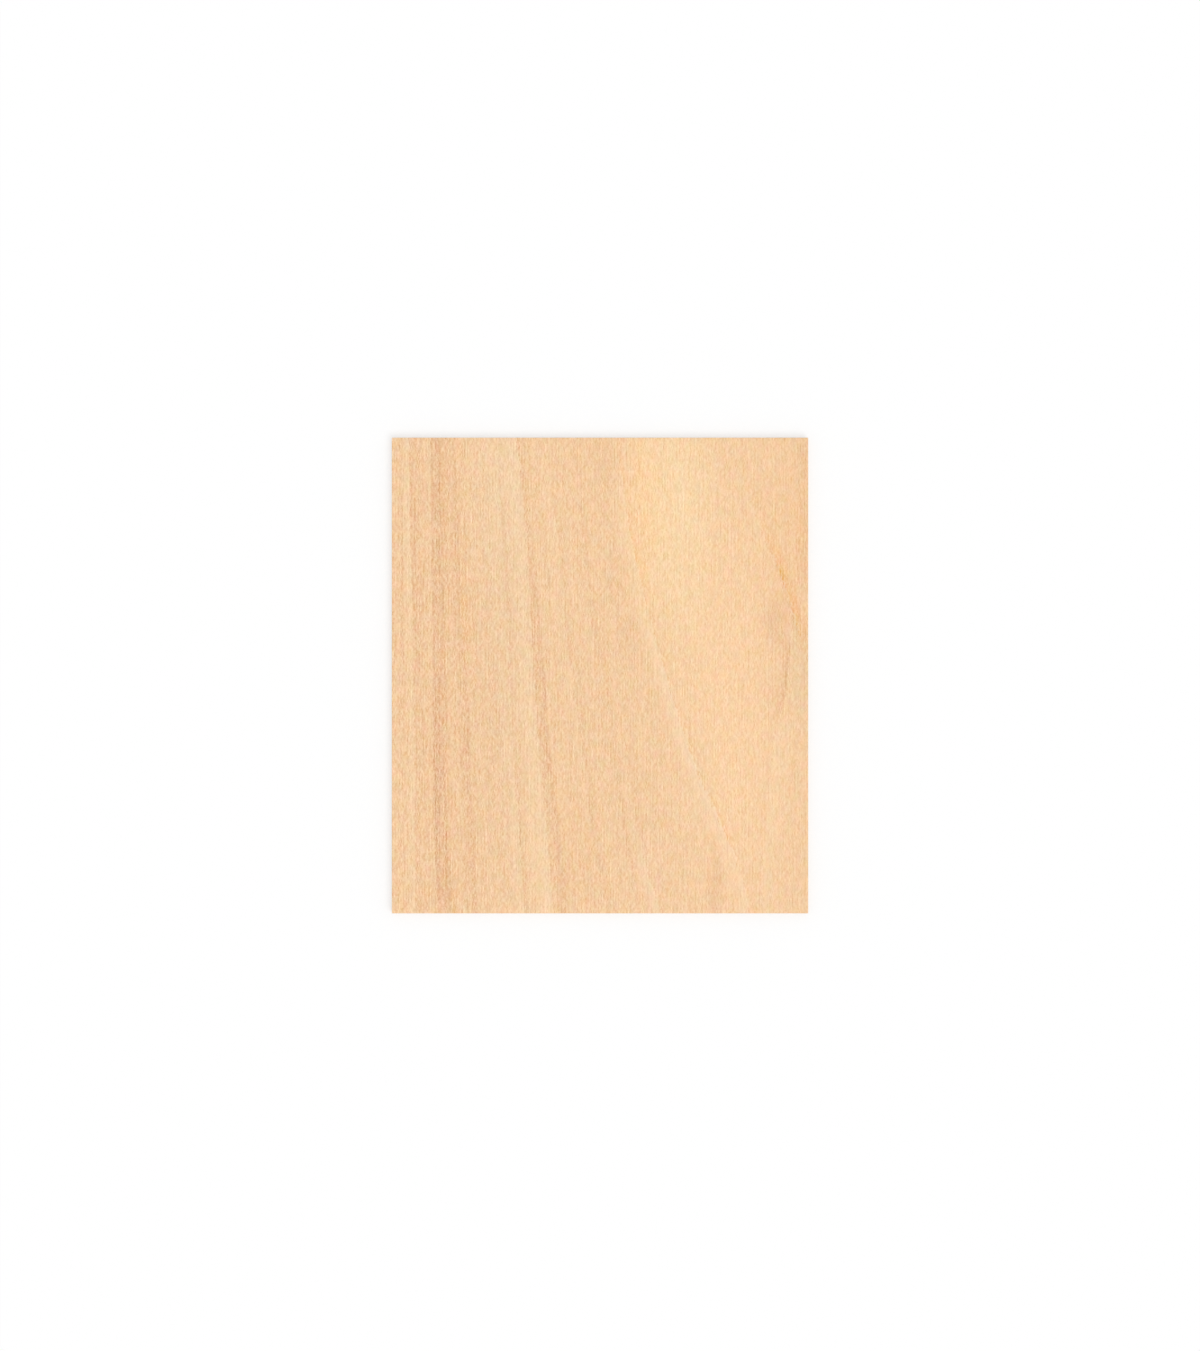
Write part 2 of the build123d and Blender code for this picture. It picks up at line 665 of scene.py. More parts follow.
    def streaks(self, tree: Tree, place: Socket) -> Socket:
        """Adds up the streaks of every fibre size, each a row of narrow upright strips.

        Where their scatter is small, strips are dark and pale by turns, which keeps streaks fine.

        Args:
            tree: Tree of the material.
            place: Object coordinates, in metres.

        Returns:
            Signed streaks, below zero where dark.
        """
        total = None
        for number, fibre in enumerate(self.fibres):
            spot = add_node(
                tree, "ShaderNodeMapping",
                {
                    "Vector": place,
                    "Location": (self.seed + number / 2, self.seed + number, 0.0),
                    "Scale": (per_metre(fibre.width_mm), per_metre(fibre.length_mm), 1.0),
                },
            )
            parts = add_node(tree, "ShaderNodeSeparateXYZ", {"Vector": spot}).node.outputs
            strip = add_node(tree, "ShaderNodeMath", {0: parts["X"]}, operation="FLOOR")
            apart = add_node(tree, "ShaderNodeMath", {0: strip, 1: fibre.scatter}, operation="MULTIPLY")
            own = add_node(tree, "ShaderNodeCombineXYZ", {"X": apart, "Y": parts["Y"]})
            noise = add_node(
                tree, "ShaderNodeTexNoise",
                {"Vector": own, "Scale": 1.0, "Detail": MARK_DETAIL, "Roughness": self.broken},
                noise_dimensions="2D",
            )
            centred = add_node(tree, "ShaderNodeMath", {0: noise, 1: 0.5}, operation="SUBTRACT")
            odd = add_node(tree, "ShaderNodeMath", {0: strip, 1: 2.0}, operation="FLOORED_MODULO")
            by_turns = add_node(
                tree, "ShaderNodeMath",
                {0: odd, 1: -2 * fibre.contrast, 2: fibre.contrast}, operation="MULTIPLY_ADD",
            )
            signed = add_node(tree, "ShaderNodeMath", {0: centred, 1: by_turns}, operation="MULTIPLY")
            if total is None:
                total = signed
            else:
                total = add_node(tree, "ShaderNodeMath", {0: total, 1: signed}, operation="ADD")
        return total

    def shares(
        self, tree: Tree, place: Socket, streaks: Socket, sheet: "PlywoodSheet"
    ) -> tuple[Socket, Socket]:
        """Gives each point its share across and down the sheet, ragged by the streaks.

        Args:
            tree: Tree of the material.
            place: Object coordinates, in metres.
            streaks: Signed streaks.
            sheet: Sheet whose size the shares are of.

        Returns:
            The shares across and down.
        """
        scaled = add_node(
            tree, "ShaderNodeMapping",
            {
                "Vector": place,
                "Location": (0.5, 0.5, 0.0),
                "Scale": (per_metre(sheet.width_mm), -per_metre(sheet.length_mm), 1.0),
            },
        )
        parts = add_node(tree, "ShaderNodeSeparateXYZ", {"Vector": scaled}).node.outputs
        down = add_node(
            tree, "ShaderNodeMath",
            {0: streaks, 1: self.ragged_mm / sheet.length_mm, 2: parts["Y"]}, operation="MULTIPLY_ADD",
        )
        return parts["X"], down

    def figure(
        self, tree: Tree, place: Socket, across: Socket, down: Socket, streaks: Socket,
        sheet: "PlywoodSheet",
    ) -> Socket:
        """Adds up what the patches, drifts and growth lines change in the ground's colour.

        Args:
            tree: Tree of the material.
            place: Object coordinates, in metres.
            across: Share across the sheet.
            down: Share down the sheet.
            streaks: Signed streaks, which break up the lines.
            sheet: Sheet whose size the figure is drawn to.

        Returns:
            The colour of the figure.
        """
        ragged = add_node(
            tree, "ShaderNodeMath", {0: streaks, 1: -self.feather, 2: 1.0}, operation="MULTIPLY_ADD"
        )
        grown = self.grown(tree, across, down, sheet)
        amounts: dict[Tone, list[Socket]] = {tone: [] for tone in Tone}
        for patch in self.patches:
            amounts[patch.tone].append(self.patch_amount(tree, across, down, patch, sheet))
        for number, drift in enumerate(self.drifts):
            spot = grown if drift.follows else place
            amounts[drift.tone].append(self.drift_amount(tree, spot, number, drift))
        for line in self.lines:
            for tone, amount in self.line_amounts(tree, across, down, line, sheet):
                broken = add_node(tree, "ShaderNodeMath", {0: amount, 1: ragged}, operation="MULTIPLY")
                amounts[tone].append(broken)
        ground = Vector(linear(self.ground)[:3])
        colour: Any = ground
        for tone, found in amounts.items():
            if not found:
                continue
            total = found[0]
            for amount in found[1:]:
                total = add_node(tree, "ShaderNodeMath", {0: total, 1: amount}, operation="ADD")
            change = Vector(linear(tone.value)[:3]) - ground
            colour = add_node(
                tree, "ShaderNodeVectorMath", {0: total, 1: change, 2: colour}, operation="MULTIPLY_ADD"
            )
        return colour

    def grown(self, tree: Tree, across: Socket, down: Socket, sheet: "PlywoodSheet") -> Socket:
        """Follows each point along the lean of the growth lines to mid-length.

        Args:
            tree: Tree of the material.
            across: Share across the sheet.
            down: Share down the sheet.
            sheet: Sheet whose size the shares are of.

        Returns:
            A place in metres, with x alike all along one growth line.
        """
        below = add_node(tree, "ShaderNodeMath", {0: down, 1: 0.5}, operation="SUBTRACT")
        crossing = across
        for _ in range(self.lean_steps):
            lean = draw_course(tree, crossing, self.lean)
            moved = add_node(tree, "ShaderNodeMath", {0: lean, 1: below}, operation="MULTIPLY")
            crossing = add_node(tree, "ShaderNodeMath", {0: across, 1: moved}, operation="SUBTRACT")
        shares = add_node(tree, "ShaderNodeCombineXYZ", {"X": crossing, "Y": down})
        size = (sheet.width_mm * MM, sheet.length_mm * MM, 1.0)
        return add_node(tree, "ShaderNodeVectorMath", {0: shares, 1: size}, operation="MULTIPLY")

    def drift_amount(self, tree: Tree, place: Socket, number: int, drift: Drift) -> Socket:
        """Measures how far the ground drifts at a point.

        Args:
            tree: Tree of the material.
            place: Place on the face or along the growth lines, in metres.
            number: Number of the drift, so that no two fall together.
            drift: The drift.

        Returns:
            Signed amount of the drift's tone.
        """
        shift = (number * self.drift_shift[0], number * self.drift_shift[1])
        noise = self.stretched_noise(tree, place, shift, drift.width_mm, drift.length_mm)
        return add_node(
            tree, "ShaderNodeMath",
            {0: noise, 1: drift.strength, 2: -drift.strength / 2}, operation="MULTIPLY_ADD",
        )

    def line_amounts(
        self, tree: Tree, across: Socket, down: Socket, line: GrowthLine, sheet: "PlywoodSheet"
    ) -> list[tuple[Tone, Socket]]:
        """Measures how much a point belongs to each side of a growth line.

        Args:
            tree: Tree of the material.
            across: Share across the sheet.
            down: Share down the sheet.
            line: The growth line.
            sheet: Sheet whose size the line is drawn to.

        Returns:
            The tone and amount of each side that the line has.
        """
        route = draw_course(tree, down, line.route)
        half = self.crisp_mm / 2 / sheet.width_mm
        amounts = []
        for side, ends in ((line.left, (route, across)), (line.right, (across, route))):
            if side is None:
                continue
            away = add_node(tree, "ShaderNodeMath", {0: ends[0], 1: ends[1]}, operation="SUBTRACT")
            step = add_node(
                tree, "ShaderNodeMapRange", {"Value": away, "From Min": -half, "From Max": half}
            )
            fade = add_node(
                tree, "ShaderNodeMapRange",
                {"Value": away, "From Max": side.reach_mm / sheet.width_mm, "To Min": 1.0, "To Max": 0.0},
                interpolation_type="SMOOTHSTEP",
            )
            strength = draw_course(tree, down, side.strength)
            band = add_node(tree, "ShaderNodeMath", {0: step, 1: fade}, operation="MULTIPLY")
            amount = add_node(tree, "ShaderNodeMath", {0: band, 1: strength}, operation="MULTIPLY")
            amounts.append((side.tone, amount))
        return amounts

    def patch_amount(
        self, tree: Tree, across: Socket, down: Socket, patch: Patch, sheet: "PlywoodSheet"
    ) -> Socket:
        """Measures how much a point belongs to a patch.

        Args:
            tree: Tree of the material.
            across: Share across the sheet.
            down: Share down the sheet.
            patch: The patch.
            sheet: Sheet whose size the patch is drawn to.

        Returns:
            Amount of the patch's tone.
        """
        spot = add_node(tree, "ShaderNodeCombineXYZ", {"X": across, "Y": down})
        reach_across = patch.width_mm / sheet.width_mm
        reach_down = patch.length_mm / sheet.length_mm
        local = add_node(
            tree, "ShaderNodeMapping",
            {
                "Vector": spot,
                "Location": (-patch.across / reach_across, -patch.down / reach_down, 0.0),
                "Scale": (1 / reach_across, 1 / reach_down, 1.0),
            },
        )
        distance = add_node(tree, "ShaderNodeVectorMath", {0: local}, "Value", operation="LENGTH")
        return add_node(
            tree, "ShaderNodeMapRange",
            {"Value": distance, "To Min": patch.strength, "To Max": 0.0},
            interpolation_type="SMOOTHSTEP",
        )


@dataclass(frozen=True)
class SawnEdge:
    """Sawn edge of a five-ply panel, fine-sanded and left bare.

    Neighbouring plies cross, so every second ply shows its end grain, which drinks in light and
    looks darker and pitted, and the ones between show long pale fibres. Core veneer is mixed wood,
    so each ply is cloudy along its length. A thin dark glue line lies between plies, a little wavy
    because veneers swell and press unevenly.
    """

    name: str
    run: EdgeRun
    seed: float
    long_grain: str = "#F3D5AE"
    long_streak: str = "#DDB486"
    end_grain: str = "#E3C097"
    end_pore: str = "#BF9666"
    cloud: str = "#B98D5E"
    glue: str = "#8A633F"
    glue_mm: float = 0.16  # a real line is about 0.1 mm, drawn wider so that it shows
    waver_mm: float = 0.10
    waver_length_mm: float = 18.0
    streak_mm: float = 0.35
    streak_length_mm: float = 14.0
    pore_mm: float = 0.45
    cloud_mm: float = 16.0
    cloud_most: float = 0.6  # how far the cloudiest wood goes towards its colour
    mark_from: float = 0.35  # noise at which a mark starts, and at which it is full
    mark_full: float = 0.7
    roughness: float = 0.72
    specular: float = 0.2
    bump_mm: float = 0.04

    def material(self, sheet: "PlywoodSheet") -> bpy.types.Material:
        """Builds the finish for a sheet.

        Args:
            sheet: Sheet whose plies the edge shows.

        Returns:
            The node material.
        """
        made = empty_material(self.name)
        tree = made.node_tree
        place = add_node(tree, "ShaderNodeTexCoord", output="Object")
        stack = self.stack(tree, place, sheet)
        ply = add_node(tree, "ShaderNodeMath", {0: stack}, operation="FLOOR")
        crossed = add_node(tree, "ShaderNodeMath", {0: ply, 1: 2.0}, operation="MODULO")
        if self.run is EdgeRun.ACROSS:
            crossed = add_node(tree, "ShaderNodeMath", {0: 1.0, 1: crossed}, operation="SUBTRACT")
        fibres = self.grain(tree, place, ply, self.streak_mm, self.streak_length_mm)
        pores = self.grain(tree, place, ply, self.pore_mm, self.pore_mm)
        clouds = self.grain(tree, place, ply, self.cloud_mm, self.cloud_mm, self.cloud_most)
        glue = self.glue_amount(tree, stack, sheet)
        shades = [
            add_node(
                tree, "ShaderNodeMix",
                {"Factor_Float": grain, "A_Color": linear(base), "B_Color": linear(mark)},
                "Result_Color", data_type="RGBA",
            )
            for base, mark, grain in (
                (self.long_grain, self.long_streak, fibres),
                (self.end_grain, self.end_pore, pores),
            )
        ]
        colour = shades[0]
        for amount, over in (
            (crossed, shades[1]), (clouds, linear(self.cloud)), (glue, linear(self.glue))
        ):
            colour = add_node(
                tree, "ShaderNodeMix",
                {"Factor_Float": amount, "A_Color": colour, "B_Color": over},
                "Result_Color", data_type="RGBA",
            )
        relief = add_node(tree, "ShaderNodeMath", {0: pores, 1: crossed}, operation="MULTIPLY")
        bump = add_node(
            tree, "ShaderNodeBump",
            {"Height": relief, "Strength": 1.0, "Distance": self.bump_mm * MM}, invert=True,
        )
        surface = add_node(
            tree, "ShaderNodeBsdfPrincipled",
            {
                "Base Color": colour, "Roughness": self.roughness, "Normal": bump,
                "IOR": WOOD_IOR, "Specular IOR Level": self.specular,
            },
        )
        add_node(tree, "ShaderNodeOutputMaterial", {"Surface": surface})
        return made

    def stack(self, tree: Tree, place: Socket, sheet: "PlywoodSheet") -> Socket:
        """Measures the height of a point in plies, with wavy plies.

        Args:
            tree: Tree of the material.
            place: Object coordinates, in metres.
            sheet: Sheet whose plies the edge shows.

        Returns:
            Height in core plies, 1 where the back veneer meets the core.
        """
        along = per_metre(self.waver_length_mm)
        upward = per_metre(sheet.core_ply_mm)
        spot = add_node(
            tree, "ShaderNodeMapping",
            {
                "Vector": place,
                "Location": (self.seed, self.seed, self.seed),
                "Scale": (along, along, upward),
            },
        )
        noise = add_node(
            tree, "ShaderNodeTexNoise", {"Vector": spot, "Scale": 1.0, "Detail": MARK_DETAIL}
        )
        reach = 2 * self.waver_mm / sheet.core_ply_mm
        base = 1 - sheet.face_ply_mm / sheet.core_ply_mm
        waver = add_node(
            tree, "ShaderNodeMath", {0: noise, 1: reach, 2: base - reach / 2}, operation="MULTIPLY_ADD"
        )
        height = add_node(tree, "ShaderNodeSeparateXYZ", {"Vector": place}, "Z")
        return add_node(
            tree, "ShaderNodeMath", {0: height, 1: upward, 2: waver}, operation="MULTIPLY_ADD"
        )

    def grain(
        self, tree: Tree, place: Socket, ply: Socket, tall_mm: float, long_mm: float, most: float = 1.0
    ) -> Socket:
        """Makes the marks of one kind of grain, different in each ply.

        Args:
            tree: Tree of the material.
            place: Object coordinates, in metres.
            ply: Number of the ply, from the back.
            tall_mm: Size of a mark up the edge.
            long_mm: Size of a mark along the edge.
            most: Amount of a full mark.

        Returns:
            Amount of the marks.
        """
        spot = add_node(
            tree, "ShaderNodeMapping",
            {
                "Vector": place,
                "Location": (self.seed, self.seed, self.seed),
                "Scale": (per_metre(long_mm), per_metre(long_mm), per_metre(tall_mm)),
            },
        )
        noise = add_node(
            tree, "ShaderNodeTexNoise",
            {"Vector": spot, "W": ply, "Scale": 1.0, "Detail": MARK_DETAIL}, noise_dimensions="4D",
        )
        return add_node(
            tree, "ShaderNodeMapRange",
            {"Value": noise, "From Min": self.mark_from, "From Max": self.mark_full, "To Max": most},
        )

    def glue_amount(self, tree: Tree, stack: Socket, sheet: "PlywoodSheet") -> Socket:
        """Measures how much a point lies in a glue line, which runs at each whole height.

        Args:
            tree: Tree of the material.
            stack: Height in core plies.
            sheet: Sheet whose plies are glued.

        Returns:
            Amount of glue.
        """
        within = add_node(tree, "ShaderNodeMath", {0: stack, 1: 0.5}, operation="PINGPONG")
        half = self.glue_mm / 2 / sheet.core_ply_mm
        return add_node(
            tree, "ShaderNodeMapRange",
            {"Value": within, "From Min": half / 2, "From Max": half, "To Min": 1.0, "To Max": 0.0},
        )


@dataclass(frozen=True)
class MapTile:
    """Where one side of the sheet lies on the map that its look can be baked to.

    Attributes:
        facing: Direction out of that side.
        across: Direction on the sheet that runs along the tile.
        up: Direction on the sheet that runs up the tile.
        corner: Low corner of the tile, in shares of the map.
        size: Width and height of the tile, in shares of the map.
    """

    facing: Axis
    across: Axis
    up: Axis
    corner: tuple[Share, Share]
    size: tuple[Share, Share]


CELL_INPUTS = ("Cells Across", "Cells Along", "Cells Up")  # the rule's inputs along x, y and z

# The good face gets most of the map, and each thin edge a strip right across it
MAP_TILES = (
    MapTile((0.0, 0.0, 1.0), (1.0, 0.0, 0.0), (0.0, 1.0, 0.0), (0.005, 0.195), (0.70, 0.80)),
    MapTile((0.0, 0.0, -1.0), (-1.0, 0.0, 0.0), (0.0, 1.0, 0.0), (0.715, 0.195), (0.28, 0.32)),
    MapTile((1.0, 0.0, 0.0), (0.0, 1.0, 0.0), (0.0, 0.0, 1.0), (0.005, 0.005), (0.99, 0.04)),
    MapTile((-1.0, 0.0, 0.0), (0.0, -1.0, 0.0), (0.0, 0.0, 1.0), (0.005, 0.052), (0.99, 0.04)),
    MapTile((0.0, 1.0, 0.0), (-1.0, 0.0, 0.0), (0.0, 0.0, 1.0), (0.005, 0.099), (0.99, 0.04)),
    MapTile((0.0, -1.0, 0.0), (1.0, 0.0, 0.0), (0.0, 0.0, 1.0), (0.005, 0.146), (0.99, 0.04)),
)


@dataclass
class PlywoodSheet:
    """The sheet: one closed piece that stands for the CAD solid.

    Attributes:
        width_mm: Size across the face grain.
        length_mm: Size along the face grain.
        thickness_mm: Height of the stack of plies.
        plies: Number of plies.
        face_ply_mm: Thickness of the two outer plies, which sanding leaves thinner than the core's.
        arris_mm: Radius that every edge is eased to.
        cells_across: Cells of the mesh across the grain.
        cells_along: Cells of the mesh along the grain.
        cells_up: Cells of the mesh up an edge.
        grain_width_mm: Width of the hollows between fibres, drawn as coarse as the cells need.
        grain_length_mm: Length of the hollows between fibres.
        face_relief_mm: Deepest hollow between the fibres of a face.
        edge_relief_mm: How far the end grain of a sawn edge lies back.
        seed: Seed of the relief.
        turned: How much of a direction has to point one way for a cell to belong to that side.
    """

    width_mm: float
    length_mm: float
    thickness_mm: float
    plies: int = 5
    face_ply_mm: float = 0.85
    arris_mm: float = 0.3
    cells_across: int = 300
    cells_along: int = 100
    cells_up: int = 34
    grain_width_mm: float = 2.4
    grain_length_mm: float = 40.0
    face_relief_mm: float = 0.008
    edge_relief_mm: float = 0.06
    seed: float = 7.0
    turned: float = 0.6

    @classmethod
    def from_frame(cls, node: str) -> "PlywoodSheet":
        """Takes the sheet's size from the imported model.

        Args:
            node: Name of the CAD node.

        Returns:
            A sheet of that size.
        """
        low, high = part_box(node)
        size = (high - low) / MM
        return cls(size.x, size.y, size.z)

    @property
    def core_ply_mm(self) -> float:
        """Thickness of one ply of the core."""
        return (self.thickness_mm - 2 * self.face_ply_mm) / (self.plies - 2)

    def finishes(self) -> dict[str, bpy.types.Material]:
        """Makes the four finishes.

        Returns:
            Materials by the name of the rule's input.
        """
        good = FaceVeneer(
            "rotary_cut_veneer_sanded", "#F3CBA0", GOOD_FACE_LINES, GOOD_FACE_PATCHES, GOOD_FACE_LEAN, 3.0
        )
        back = FaceVeneer(
            "rotary_cut_back_veneer_sanded", "#EFC598",
            BACK_FACE_LINES, BACK_FACE_PATCHES, BACK_FACE_LEAN, 11.0,
        )
        along = SawnEdge("sawn_edge_along_the_grain", EdgeRun.ALONG, 5.0)
        across = SawnEdge("sawn_edge_across_the_grain", EdgeRun.ACROSS, 9.0)
        return {
            "Good Face": good.material(self),
            "Back Face": back.material(self),
            "Edge Along": along.material(self),
            "Edge Across": across.material(self),
        }

    def rule(self) -> Tree:
        """Builds the geometry rule: a block of cells with eased arrises and fine relief.

        Returns:
            The geometry node tree.
        """
        tree = bpy.data.node_groups.new("plywood_sheet_rule", "GeometryNodeTree")
        measures = (
            "Face Ply", "Core Ply", "Arris", "Grain Width", "Grain Length", "Face Relief", "Edge Relief",
            "Seed",
        )
        finishes = ("Good Face", "Back Face", "Edge Along", "Edge Across")
        tree.interface.new_socket("Size", in_out="INPUT", socket_type="NodeSocketVector")
        for names, kind in (
            (CELL_INPUTS, "NodeSocketInt"), (measures, "NodeSocketFloat"), (finishes, "NodeSocketMaterial")
        ):
            for name in names:
                tree.interface.new_socket(name, in_out="INPUT", socket_type=kind)
        tree.interface.new_socket("Sheet", in_out="OUTPUT", socket_type="NodeSocketGeometry")
        given = add_node(tree, "NodeGroupInput").node.outputs
        block, cells = self.block(tree, given)
        surface, outward = self.eased(tree, given, cells)
        depth = self.relief(tree, given, surface, outward)
        inward = add_node(
            tree, "ShaderNodeVectorMath", {0: outward, "Scale": depth}, operation="SCALE"
        )
        cut = add_node(tree, "ShaderNodeVectorMath", {0: surface, 1: inward}, operation="SUBTRACT")
        shaped = add_node(tree, "GeometryNodeSetPosition", {"Geometry": block, "Position": cut})
        smooth = add_node(tree, "GeometryNodeSetShadeSmooth", {"Geometry": shaped})
        mapped = add_node(
            tree, "GeometryNodeStoreNamedAttribute",
            {"Geometry": smooth, "Name": "OFBake", "Value": self.map_place(tree, given)},
            data_type="FLOAT2", domain="CORNER",
        )
        dressed = add_node(tree, "GeometryNodeRealizeInstances", {"Geometry": mapped})
        for name, chosen in self.sides(tree).items():
            dressed = add_node(
                tree, "GeometryNodeSetMaterial",
                {"Geometry": dressed, "Selection": chosen, "Material": given[name]},
            )
        add_node(tree, "NodeGroupOutput", {"Sheet": dressed})
        return tree

    def block(self, tree: Tree, given: Any) -> tuple[Socket, Socket]:
        """Makes a unit block with the right number of cells.

        Args:
            tree: Tree of the rule.
            given: The rule's inputs.

        Returns:
            The block, and its cells along each axis as a vector.
        """
        corners = [
            add_node(tree, "ShaderNodeMath", {0: given[name], 1: 1.0}, operation="ADD")
            for name in CELL_INPUTS
        ]
        block = add_node(
            tree, "GeometryNodeMeshCube",
            {"Vertices X": corners[0], "Vertices Y": corners[1], "Vertices Z": corners[2]},
        )
        cells = add_node(
            tree, "ShaderNodeCombineXYZ", {axis: given[name] for axis, name in zip("XYZ", CELL_INPUTS)}
        )
        return block, cells

    def eased(self, tree: Tree, given: Any, cells: Socket) -> tuple[Socket, Socket]:
        """Spreads the cells over the sheet, with two rings of cells round each arris.

        Args:
            tree: Tree of the rule.
            given: The rule's inputs.
            cells: Cells along each axis.

        Returns:
            Each point's place on the eased sheet, and the direction out of it.
        """
        rings = (2.0, 2.0, 2.0)
        half_square = (math.pi / 4,) * 3
        unit = add_node(tree, "GeometryNodeInputPosition")
        share = add_node(
            tree, "ShaderNodeVectorMath", {0: unit, 1: (0.5, 0.5, 0.5)}, operation="ADD"
        )
        steps = add_node(tree, "ShaderNodeVectorMath", {0: share, 1: cells}, operation="MULTIPLY")
        left = add_node(tree, "ShaderNodeVectorMath", {0: cells, 1: steps}, operation="SUBTRACT")
        nearest = add_node(tree, "ShaderNodeVectorMath", {0: steps, 1: left}, operation="MINIMUM")
        turn = add_node(
            tree, "ShaderNodeMapRange",
            {
                "Vector": nearest, "From_Min_FLOAT3": (0.0, 0.0, 0.0), "From_Max_FLOAT3": rings,
                "To_Min_FLOAT3": half_square, "To_Max_FLOAT3": (0.0, 0.0, 0.0),
            },
            "Vector", data_type="FLOAT_VECTOR",
        )
        lean = add_node(tree, "ShaderNodeVectorMath", {0: turn}, operation="TANGENT")
        side = add_node(tree, "ShaderNodeVectorMath", {0: unit}, operation="SIGN")
        leaning = add_node(tree, "ShaderNodeVectorMath", {0: lean, 1: side}, operation="MULTIPLY")
        outward = add_node(tree, "ShaderNodeVectorMath", {0: leaning}, operation="NORMALIZE")
        half = add_node(
            tree, "ShaderNodeVectorMath", {0: given["Size"], "Scale": 0.5}, operation="SCALE"
        )
        flat = add_node(
            tree, "ShaderNodeVectorMath", {0: half, 1: given["Arris"]}, operation="SUBTRACT"
        )
        back = add_node(tree, "ShaderNodeVectorMath", {0: flat, "Scale": -1.0}, operation="SCALE")
        last = add_node(tree, "ShaderNodeVectorMath", {0: cells, 1: rings}, operation="SUBTRACT")
        core = add_node(
            tree, "ShaderNodeMapRange",
            {
                "Vector": steps, "From_Min_FLOAT3": rings, "From_Max_FLOAT3": last,
                "To_Min_FLOAT3": back, "To_Max_FLOAT3": flat,
            },
            "Vector", data_type="FLOAT_VECTOR",
        )
        arris = add_node(
            tree, "ShaderNodeVectorMath", {0: outward, "Scale": given["Arris"]}, operation="SCALE"
        )
        centred = add_node(tree, "ShaderNodeVectorMath", {0: core, 1: arris}, operation="ADD")
        lift = add_node(
            tree, "ShaderNodeVectorMath", {0: half, 1: (0.0, 0.0, 1.0)}, operation="MULTIPLY"
        )
        surface = add_node(tree, "ShaderNodeVectorMath", {0: centred, 1: lift}, operation="ADD")
        return surface, outward

    def relief(self, tree: Tree, given: Any, surface: Socket, outward: Socket) -> Socket:
        """Works out how deep each point lies under the sheet's flat sides.

        Args:
            tree: Tree of the rule.
            given: The rule's inputs.
            surface: Each point's place on the eased sheet.
            outward: Direction out of the sheet.

        Returns:
            The depth, never below zero, so that the piece stays within the CAD box.
        """
        squares = add_node(
            tree, "ShaderNodeVectorMath", {0: outward, 1: outward}, operation="MULTIPLY"
        )
        facing = add_node(tree, "ShaderNodeSeparateXYZ", {"Vector": squares}).node.outputs
        wide, long = given["Grain Width"], given["Grain Length"]
        pitch = add_node(tree, "ShaderNodeCombineXYZ", {"X": wide, "Y": long, "Z": wide})
        streak = add_node(tree, "ShaderNodeVectorMath", {0: surface, 1: pitch}, operation="DIVIDE")
        grain = add_node(
            tree, "ShaderNodeTexNoise",
            {"Vector": streak, "W": given["Seed"], "Scale": 1.0, "Detail": SOFT_DETAIL},
            noise_dimensions="4D",
        )
        face = add_node(tree, "ShaderNodeMath", {0: grain, 1: given["Face Relief"]}, operation="MULTIPLY")
        face = add_node(tree, "ShaderNodeMath", {0: face, 1: facing["Z"]}, operation="MULTIPLY")
        height = add_node(tree, "ShaderNodeSeparateXYZ", {"Vector": surface}, "Z")
        over = add_node(tree, "ShaderNodeMath", {0: height, 1: given["Face Ply"]}, operation="SUBTRACT")
        stack = add_node(tree, "ShaderNodeMath", {0: over, 1: given["Core Ply"]}, operation="DIVIDE")
        ply = add_node(tree, "ShaderNodeMath", {0: stack}, operation="FLOOR")
        straight = add_node(tree, "ShaderNodeMath", {0: ply, 1: 2.0}, operation="FLOORED_MODULO")
        crossed = add_node(tree, "ShaderNodeMath", {0: 1.0, 1: straight}, operation="SUBTRACT")
        ends_x = add_node(tree, "ShaderNodeMath", {0: crossed, 1: facing["X"]}, operation="MULTIPLY")
        ends_y = add_node(tree, "ShaderNodeMath", {0: straight, 1: facing["Y"]}, operation="MULTIPLY")
        ends = add_node(tree, "ShaderNodeMath", {0: ends_x, 1: ends_y}, operation="ADD")
        pit = add_node(tree, "ShaderNodeMath", {0: grain, 1: given["Edge Relief"]}, operation="MULTIPLY")
        edge = add_node(tree, "ShaderNodeMath", {0: ends, 1: pit}, operation="MULTIPLY")
        return add_node(tree, "ShaderNodeMath", {0: face, 1: edge}, operation="ADD")

    def map_place(self, tree: Tree, given: Any) -> Socket:
        """Lays the six sides out on the map, each cell by the side that it faces.

        Args:
            tree: Tree of the rule.
            given: The rule's inputs.

        Returns:
            Each corner's place on the map, in shares.
        """
        spot = add_node(tree, "GeometryNodeInputPosition")
        unit = add_node(tree, "ShaderNodeVectorMath", {0: spot, 1: given["Size"]}, operation="DIVIDE")
        middle = add_node(
            tree, "ShaderNodeVectorMath", {0: unit, 1: (0.0, 0.0, 0.5)}, operation="SUBTRACT"
        )
        normal = add_node(tree, "GeometryNodeInputNormal")
        facing = add_node(
            tree, "GeometryNodeFieldOnDomain", {"Value": normal}, domain="FACE", data_type="FLOAT_VECTOR"
        )
        place = None
        for tile in MAP_TILES:
            shares = []
            for axis, low, size in zip((tile.across, tile.up), tile.corner, tile.size):
                share = add_node(
                    tree, "ShaderNodeVectorMath", {0: middle, 1: axis}, "Value", operation="DOT_PRODUCT"
                )
                shares.append(
                    add_node(
                        tree, "ShaderNodeMath", {0: share, 1: size, 2: low + size / 2},
                        operation="MULTIPLY_ADD",
                    )
                )
            spread = add_node(tree, "ShaderNodeCombineXYZ", {"X": shares[0], "Y": shares[1]})
            if place is None:
                place = spread
                continue
            towards = add_node(
                tree, "ShaderNodeVectorMath", {0: facing, 1: tile.facing}, "Value", operation="DOT_PRODUCT"
            )
            chosen = add_node(
                tree, "ShaderNodeMath", {0: towards, 1: self.turned}, operation="GREATER_THAN"
            )
